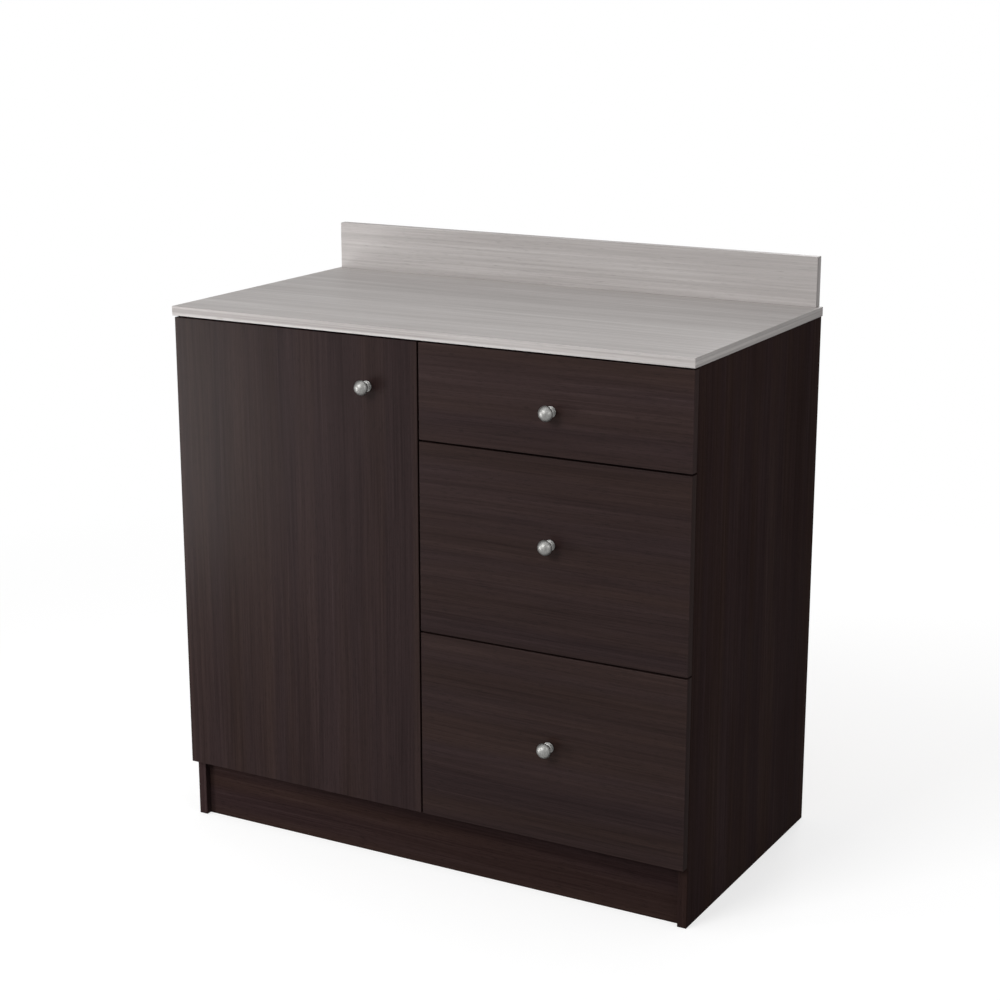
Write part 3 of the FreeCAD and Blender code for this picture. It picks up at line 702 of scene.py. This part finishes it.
def knob_profile(head_radius, length):
    """Foot, step, cove, neck, flared underside and dome: straight lines and arcs through three points."""
    dome_height = length - KNOB_RIM
    dome = (head_radius ** 2 + dome_height ** 2) / (2 * dome_height)
    half_way = (head_radius / 2, length - dome + math.sqrt(dome ** 2 - (head_radius / 2) ** 2))
    cove_end = (KNOB_NECK_RADIUS, KNOB_STEP_HEIGHT + KNOB_COVE)
    cove_middle = (KNOB_NECK_RADIUS + KNOB_COVE * QUARTER_MIDDLE,
                   KNOB_STEP_HEIGHT + KNOB_COVE * QUARTER_MIDDLE)
    flare_middle = (KNOB_NECK_RADIUS + FLARE_OUT * (head_radius - KNOB_NECK_RADIUS),
                    KNOB_NECK_TOP + FLARE_UP * (KNOB_RIM - KNOB_NECK_TOP))
    rim = (head_radius, KNOB_RIM)
    foot = [(0, 0), (KNOB_FOOT_RADIUS, 0), (KNOB_FOOT_RADIUS, KNOB_FOOT_HEIGHT),
            (KNOB_STEP_RADIUS, KNOB_FOOT_HEIGHT), (KNOB_STEP_RADIUS, KNOB_STEP_HEIGHT)]
    return np.vstack([foot, arc(foot[-1], cove_middle, cove_end),
                      arc((KNOB_NECK_RADIUS, KNOB_NECK_TOP), flare_middle, rim),
                      arc(rim, half_way, (0, length), count=DOME_POINTS)])


print("a knob's neck is", round(2 * KNOB_NECK_RADIUS / MILLIMETRE, 1), "mm thick")

# %% [markdown]
# ## Satin nickel
# The lathe and the polishing wheel leave fine rings. Noise on Object coordinates can't follow them round a
# curved outline, so each knob carries an attribute that says how far along its outline a point lies, and
# the finish makes the rings from that.

# %% The nickel finish
RINGS_PER_METRE = 5200.0
RING_DETAIL = 3.0
RING_WEIGHT = 0.5
RING_RELIEF = 0.12
RING_DEPTH = 0.04 * MILLIMETRE
NICKEL_BRUSHING = dict(width=0.0007, length=0.009, detail=3.0, rough=0.6)
NICKEL_GREYS = ((0.34, paint(118, 117, 115)), (0.66, paint(150, 150, 148)))
NICKEL_ROUGHNESS = (0.35, 0.65, 0.40, 0.50)


def nickel_finish():
    """Satin nickel: fine rings from the distance along the outline, brushed streaks and a warm grey."""
    finish = Finish("satin_nickel_finish", seed=3)
    along = finish.add("Attribute", {}, attribute_name="along_profile").outputs["Fac"]
    inputs = {"W": along, "Scale": RINGS_PER_METRE, "Detail": RING_DETAIL}
    rings = finish.add("TexNoise", inputs, noise_dimensions="1D").outputs["Fac"]
    brushed = finish.marks("z", **NICKEL_BRUSHING)
    marked = finish.weigh((rings, RING_WEIGHT), (brushed, 1 - RING_WEIGHT))
    finish.relief(rings, RING_RELIEF, RING_DEPTH)
    finish.set(Roughness=finish.spread(marked, *NICKEL_ROUGHNESS), Metallic=1.0)
    return finish.set(Base_Color=finish.ramp(brushed, *NICKEL_GREYS))


nickel = nickel_finish()
print("finish of the knobs:", nickel.name)

# %% Turn the knobs
KNOBS = {"door_knob": "door", "bottom_drawer_knob": "bottom_drawer",
         "middle_drawer_knob": "middle_drawer", "top_drawer_knob": "top_drawer"}
OUTLINE_STEP = 0.25 * MILLIMETRE
OUTLINE_PASSES = 3


def turned_rings(profile, foot, around=96):
    """Carry an outline round the axis that points forward: radius times cosine and sine at each ring."""
    turn = np.arange(around) * math.tau / around
    radius, distance = profile[1:-1, 0, None], profile[1:-1, 1, None]
    rings = np.stack([radius * np.cos(turn), -distance + 0 * turn, radius * np.sin(turn)], axis=-1)
    return foot + rings


for node, body in KNOBS.items():
    low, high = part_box(node)
    foot = ((low.x + high.x) / 2, high.y, (low.z + high.z) / 2)
    profile = knob_profile((high.x - low.x) / 2, high.y - low.y)
    outline = soften(profile, OUTLINE_STEP, OUTLINE_PASSES)
    rings = turned_rings(outline, np.array(foot))
    knob = ring_piece("turned_" + node, rings)
    lines = knob.data.attributes.new("along_profile", "FLOAT", "POINT")
    reached = np.repeat(length_along(outline)[1:-1], rings.shape[1])
    lines.data.foreach_set("value", reached.astype(np.float32))
    take_over(knob, node, body, nickel)
print("knobs:", len(KNOBS), "faces in one:", len(knob.data.polygons))

# %% [markdown]
# ## Drawer rails
# Each drawer runs on a pair of telescopic rails, and each rail has three members that slide inside one
# another. They are rolled from steel strip, so a member is one thickness everywhere, its bends are round,
# shallow beads stiffen it and a row of holes is punched through its web. A Boolean modifier could punch
# the holes, but it leaves ragged faces. Here a grid is laid over the strip. Around each hole its squares
# are pushed out into circles, and the cells inside the smallest circle are left out.

# %% The strip of a rail
RAIL_SKIN = 1.05 * MILLIMETRE
RAIL_STEP = 0.25 * MILLIMETRE
RAIL_PASSES = 6
FLAT_STEP = 2 * MILLIMETRE
BEND_STEP = math.radians(12)
BEAD_HEIGHT = 0.22 * MILLIMETRE
BEAD_HALF = 1.6 * MILLIMETRE
BEAD_PLACE = 0.56
TRACK_PLACE = 0.62


def bump(place, middle, half):
    """A smooth rise of height 1: e to the power of minus the squared distance."""
    return np.exp(-((place - middle) / half) ** 2)


def rail_line(reach, half):
    """Centre line of a rolled C in depth and height: two bends, then beads on the web and on the flanges."""
    inset = RAIL_SKIN / 2
    edge = half - inset
    bent = np.array([(reach, edge), (inset, edge), (inset, -edge), (reach, -edge)])
    line = soften(bent, RAIL_STEP, RAIL_PASSES)
    depth, height = line.T.copy()
    on_web = depth < 2 * inset
    line[:, 0] += on_web * BEAD_HEIGHT * bump(np.abs(height), BEAD_PLACE * half, BEAD_HALF)
    track = BEAD_HEIGHT * bump(depth, TRACK_PLACE * reach, BEAD_HALF)
    line[:, 1] -= ~on_web * np.sign(height) * track
    return line


def strip_places(line):
    """Distances across the strip where points are needed: even steps of its length and turning, added up."""
    slope = np.diff(line, axis=0)
    turn = np.abs(np.diff(np.unwrap(np.arctan2(slope[:, 1], slope[:, 0]))))
    turned = np.concatenate([[0], np.cumsum(turn), [turn.sum()]])
    length = length_along(line)
    effort = length / FLAT_STEP + turned / BEND_STEP
    return np.interp(np.linspace(0, effort[-1], int(effort[-1]) + 1), effort, length)


sample_line = rail_line(10 * MILLIMETRE, 17 * MILLIMETRE)
print("points across a sample strip:", len(strip_places(sample_line)))

# %% Lay a grid with holes
HOLE_RADIUS = 2.75 * MILLIMETRE
HOLE_BLOCK = 5 * MILLIMETRE
HOLE_LINES = 9
RIM_LINES = 3
HOLE_SHARES = np.array((0.05, 0.20, 0.34, 0.48, 0.62, 0.90))


def round_holes(across, along, centres):
    """Push squares into circles: a point times its square's size over its distance, fading at the block."""
    nearest = centres[np.argmin(np.abs(along[..., None] - centres), axis=-1)]
    beyond = along - nearest
    square = np.maximum(np.abs(across), np.abs(beyond))
    away = np.maximum(np.hypot(across, beyond), np.finfo(float).eps)
    fade = np.clip((square - HOLE_RADIUS) / (HOLE_BLOCK - HOLE_RADIUS), 0, 1)
    scale = fade + (1 - fade) * square / away
    return across * scale, nearest + beyond * scale, square


def strip_grid(line, length, centres):
    """The strip's points on both sides of its line, in depth, length and height, and each point's square."""
    run = length_along(line)
    middle = run[-1] / 2
    rim = np.linspace(HOLE_RADIUS, HOLE_BLOCK, RIM_LINES)[1:]
    lines = np.concatenate([-rim[::-1], np.linspace(-HOLE_RADIUS, HOLE_RADIUS, HOLE_LINES), rim])
    places = strip_places(line) - middle
    across = np.concatenate([places[places < -HOLE_BLOCK], lines, places[places > HOLE_BLOCK]])
    along = np.concatenate([[0], (centres[:, None] + lines).ravel(), [length]])
    across, along, square = round_holes(*np.meshgrid(across, along), centres)
    depth, height = (np.interp(across + middle, run, column) for column in line.T)
    aside, upward = (np.interp(across + middle, run, column) for column in square_to(line).T)
    sides = [np.stack([depth + half * aside, along, height + half * upward], axis=-1)
             for half in (RAIL_SKIN / 2, -RAIL_SKIN / 2)]
    return np.stack(sides), square


print("holes in one member:", len(HOLE_SHARES))

# %% Punch the strip
def punched_strip(line, length, centres):
    """Points and faces of the strip: the cells outside the holes on both sides, and walls where they end."""
    sides, square = strip_grid(line, length, centres)
    corner = np.arange(square.size).reshape(square.shape)
    cells = np.stack([corner[:-1, :-1], corner[:-1, 1:], corner[1:, 1:], corner[1:, :-1]], axis=-1)
    solid = square.ravel()[cells].mean(axis=-1) > HOLE_RADIUS
    border = np.pad(solid, 1)
    level_ends = border[1:, 1:-1] != border[:-1, 1:-1]
    upright_ends = border[1:-1, 1:] != border[1:-1, :-1]
    level = np.stack([corner[:, :-1], corner[:, 1:]], axis=-1)[level_ends]
    upright = np.stack([corner[:-1], corner[1:]], axis=-1)[upright_ends]
    edges = np.vstack([level, upright])
    walls = np.hstack([edges, edges[:, ::-1] + corner.size])
    faces = np.vstack([cells[solid], cells[solid] + corner.size, walls])
    used, faces = np.unique(faces, return_inverse=True)
    return sides.reshape(-1, 3)[used], faces.reshape(-1, 4)


sample_length = 400 * MILLIMETRE
points, faces = punched_strip(sample_line, sample_length, sample_length * HOLE_SHARES)
print("faces in a sample strip:", len(faces))

# %% Roll the rails
RAIL_REACHES = {"cabinet_rails": 10.35 * MILLIMETRE, "middle_rails": 9.85 * MILLIMETRE,
                "box_rails": 9.35 * MILLIMETRE}


def rail_pair(node, member):
    """Both rails of one member: the strip drawn inward from the left end of the box and from the right."""
    low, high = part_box(node)
    line = rail_line(RAIL_REACHES[member], (high.z - low.z) / 2)
    if member == "box_rails":
        line[:, 0] = RAIL_REACHES[member] - line[:, 0]
    length = high.y - low.y
    points, faces = punched_strip(line, length, length * HOLE_SHARES)
    middle_z = (low.z + high.z) / 2
    left = points + (low.x, low.y, middle_z)
    right = points * (-1, 1, 1) + (high.x, low.y, middle_z)
    both = np.vstack([faces, faces + len(points)])
    return skin("rolled_" + node, np.vstack([left, right]), both.tolist())


for drawer in DRAWERS:
    bodies = {"cabinet_rails": "cabinet", "middle_rails": drawer + "rails",
              "box_rails": drawer.rstrip("_")}
    for member, body in bodies.items():
        rails = rail_pair(drawer + member, member)
        take_over(rails, drawer + member, body, zinc)
print("rail pairs:", len(DRAWERS) * len(bodies), "faces in one:", len(rails.data.polygons))

# %% [markdown]
# ## Hinge arms
# A concealed hinge has an arm that is screwed to the side of the cupboard and reaches forward to the door.
# It is pressed steel: a rounded bar that thins towards the nose, in one direction only. A tapered curve
# would thin in both, so here a rounded oblong is carried along a bent line while its height changes.

# %% Bend an arm
ARM_HALF = 4.5 * MILLIMETRE
ARM_STEP = 0.5 * MILLIMETRE
ARM_PASSES = 20
ARM_ROUNDING = 0.3
KNEE_BACK = 45.4 * MILLIMETRE
KNEE_RISE = 6.4 * MILLIMETRE
TAPER_START = 2 / 3
NOSE_HALF = 2.6 * MILLIMETRE
NOSE_REACH = 0.98
NOSE_CLOSING = 0.97


def arm_line(low, high):
    """The bent line of an arm: straight from its back end, then over the knee to the tip of the nose."""
    nose = np.array((high.x - NOSE_HALF, low.y + NOSE_HALF))
    knee = np.array((low.x + KNEE_RISE, high.y - KNEE_BACK))
    tip = nose + (nose - knee) / np.linalg.norm(nose - knee) * NOSE_HALF * NOSE_REACH
    back = low.x + ARM_HALF
    corners = np.array([(back, high.y), (back, knee[1] + KNEE_RISE), knee, tip])
    return soften(corners, ARM_STEP, ARM_PASSES)


def arm_rings(low, high, z, around=48):
    """A rounded oblong, cosine and sine to a power, along the bent line. It thins from arm to nose."""
    line = arm_line(low, high)
    share = np.clip(((high.y - line[:, 1]) / KNEE_BACK - TAPER_START) / (1 - TAPER_START), 0, 1)
    half = ARM_HALF + (NOSE_HALF - ARM_HALF) * share ** 2 * (3 - 2 * share)
    past = np.clip(length_along(line) - length_along(line)[-1] + NOSE_HALF, 0, NOSE_HALF)
    half *= np.sqrt(1 - (past / NOSE_HALF) ** 2 * NOSE_CLOSING)
    turn = np.arange(around) * math.tau / around
    rise, width = (np.sign(wave) * np.abs(wave) ** ARM_ROUNDING for wave in (np.cos(turn), np.sin(turn)))
    across = line[:, None, :] + (square_to(line) * half[:, None])[:, None, :] * rise[:, None]
    return np.dstack([across, np.broadcast_to(z + ARM_HALF * width, across.shape[:2])])


low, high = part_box("hinge_arms")
print("length of an arm:", round(length_along(arm_line(low, high))[-1] / MILLIMETRE, 1), "mm")

# %% [markdown]
# ## Adjusting screws
# Two screws with a cross recess sit on each arm and set the door straight. A head is height over a disc:
# a low dome that drops steeply where both the distance from one of the two slots and the distance from
# the middle are small. All its lengths are shares of its radius.

# %% Arms with their screws
SCREW_RADIUS = 3.2 * MILLIMETRE
SCREWS_BACK = (10 * MILLIMETRE, 26 * MILLIMETRE)
SCREW_SHARES = np.concatenate([[1, 1], np.linspace(0.96, 0.01, 32)])[:, None]
SCREW_DOME = 0.30
SCREW_FOOT = -0.2
SLOT_HALF = 0.2
SLOT_WALL = 0.06
SLOT_REACH = 0.68
SLOT_END = 0.08
SLOT_DEPTH = 0.35


def screw_rings(x, y, z, around=96):
    """A low dome over a disc, seen along x: it falls with the squared radius and drops inside a cross."""
    turn = np.arange(around) * math.tau / around
    side, up = SCREW_SHARES * np.cos(turn), SCREW_SHARES * np.sin(turn)
    inside = np.clip((SLOT_HALF - np.minimum(np.abs(side), np.abs(up))) / SLOT_WALL, 0, 1)
    slot = inside * np.clip((SLOT_REACH - SCREW_SHARES) / SLOT_END, 0, 1)
    height = SCREW_DOME * (1 - SCREW_SHARES ** 2) - SLOT_DEPTH * slot
    height[0] = SCREW_FOOT
    shape = SCREW_RADIUS * np.stack([height, side, up], axis=-1)
    return shape + (x, y, z)


stacks = []
for z in (low.z + ARM_HALF, high.z - ARM_HALF):
    stacks.append(arm_rings(low, high, z))
    stacks += [screw_rings(low.x + 2 * ARM_HALF, high.y - back, z) for back in SCREWS_BACK]
arms = ring_piece("bent_hinge_arms", *stacks)
take_over(arms, "hinge_arms", "cabinet", zinc)
print("hinge arms: 2, adjusting screws:", 2 * len(SCREWS_BACK))

# %% [markdown]
# ## Camera
# The camera stands in front of the cabinet and to its right, a little above the worktop, with a long lens.
# Its place was worked out from the cabinet's straight edges in the picture, so it is written as two points
# in metres.

# %% Place the camera
CAMERA_PLACE = Vector((1.5915, -2.8390, 1.4097))
CAMERA_AIM = Vector((0.1228, -0.2000, 0.6172))
LENS_LENGTH = 74.96
SENSOR_WIDTH = 36.0
lens = bpy.data.cameras.new("camera")
lens.lens = LENS_LENGTH
lens.sensor_width = SENSOR_WIDTH
camera = bpy.data.objects.new("camera", lens)
camera.location = CAMERA_PLACE
camera.rotation_euler = (CAMERA_AIM - CAMERA_PLACE).to_track_quat("-Z", "Y").to_euler()
bpy.context.scene.collection.objects.link(camera)
bpy.context.scene.camera = camera
print("camera to cabinet:", round((CAMERA_AIM - CAMERA_PLACE).length, 2), "m")

# %% [markdown]
# ## Floor and world
# The cabinet stands on a pale floor that fades into white. A photographer would sweep paper up behind it
# and light that separately. Here the floor and the world turn white only for rays that the camera, a
# mirror or glass sends, so the cabinet gets no extra light from them, and the floor still takes its
# shadow.

# %% Lay the floor
FLOOR_HALF = 40.0
FLOOR_DROP = 0.5 * MILLIMETRE
FLOOR_PAINT = paint(180, 180, 180)
FLOOR_LIFT = 0.65
FLOOR_FADE = (1.0, 2.2)


def seen_directly(graph):
    """1 for rays of the camera, of mirrors and of glass: the largest of the three flags."""
    path = graph.add("LightPath", {})
    share = path.outputs["Is Camera Ray"]
    for name in ("Is Glossy Ray", "Is Transmission Ray"):
        share = graph.compute("MAXIMUM", share, path.outputs[name])
    return share


def floor_finish():
    """Pale paint with a little lift for seen rays, and pure white further away."""
    finish = Finish("floor_finish")
    finish.tree.nodes.remove(finish.shader)
    seen = seen_directly(finish)
    away = finish.add("VectorMath", {0: finish.place}, operation="LENGTH").outputs["Value"]
    far = finish.compute("MULTIPLY", finish.spread(away, *FLOOR_FADE), seen)
    paper = finish.add("BsdfDiffuse", {"Color": FLOOR_PAINT})
    lift = finish.add("Emission", {"Strength": finish.compute("MULTIPLY", seen, FLOOR_LIFT)})
    near = finish.add("AddShader", {0: paper.outputs[0], 1: lift.outputs[0]})
    white = finish.add("Emission", {"Strength": 1.0})
    shown = finish.add("MixShader", {0: far, 1: near.outputs[0], 2: white.outputs[0]})
    finish.feed(finish.tree.nodes["Material Output"].inputs["Surface"], shown.outputs[0])
    return finish.material


corners = FLOOR_HALF * np.array([(-1, -1), (1, -1), (1, 1), (-1, 1)])
floor_mesh = bpy.data.meshes.new("floor")
floor_mesh.from_pydata([(x, y, -FLOOR_DROP) for x, y in corners.tolist()], [], [(0, 1, 2, 3)])
floor_mesh.materials.append(floor_finish())
floor = bpy.data.objects.new("floor", floor_mesh)
bpy.context.scene.collection.objects.link(floor)
print("floor:", 2 * FLOOR_HALF, "m wide, white from", FLOOR_FADE[1], "m")

# %% Light the world
AMBIENT = 0.30
world = bpy.data.worlds.new("studio")
bpy.context.scene.world = world
world.use_nodes = True
sky = Graph(world.node_tree)
around = sky.tree.nodes["Background"]
sky.feed(around.inputs["Color"], WHITE)
sky.feed(around.inputs["Strength"], AMBIENT)
white = sky.add("Background", {"Color": WHITE})
either = sky.add("MixShader", {0: seen_directly(sky), 1: around.outputs[0], 2: white.outputs[0]})
sky.feed(sky.tree.nodes["World Output"].inputs["Surface"], either.outputs[0])
print("ambient light:", AMBIENT)

# %% [markdown]
# ## Soft boxes
# Five soft boxes light the cabinet: a strip low on the left, which gives the door its sheen, a main box
# high in front, a weak one on the right, one above the worktop and one behind, so that the back shows
# too. Small lamps would give hard shadows. The boxes hide from the camera, in case a view looks into one.

# %% Hang the soft boxes
SOFT_BOXES = {
    "low_strip": dict(place=(-1.45, -1.3, 0.4), aim=(-0.3, -0.5, 0.45), width=0.4, height=0.78, watts=14),
    "main_box": dict(place=(-0.9, -3.2, 2.5), aim=(0, -0.2, 0.5), width=1.6, height=1.6, watts=75),
    "right_box": dict(place=(1.45, -0.75, 1.2), aim=(0.45, -0.2, 0.85), width=0.6, height=0.6, watts=4),
    "back_box": dict(place=(-0.2, 3.6, 1.5), aim=(0, 0.2, 0.5), width=1.2, height=1.2, watts=55),
    "top_box": dict(place=(0.3, -0.6, 3.6), aim=(0, 0, 0.8), width=2.4, height=2.0, watts=15),
}


def soft_box(name, place, aim, width, height, watts):
    """A large area lamp at a place, turned towards a point."""
    lamp = bpy.data.lights.new(name, "AREA")
    lamp.shape = "RECTANGLE"
    lamp.size = width
    lamp.size_y = height
    lamp.energy = watts
    box = bpy.data.objects.new(name, lamp)
    box.location = place
    box.rotation_euler = (Vector(aim) - Vector(place)).to_track_quat("-Z", "Y").to_euler()
    box.visible_camera = False
    bpy.context.scene.collection.objects.link(box)


for name, box in SOFT_BOXES.items():
    soft_box(name, **box)
bpy.context.scene.view_settings.view_transform = "Standard"
print("soft boxes:", len(SOFT_BOXES))

# %% [markdown]
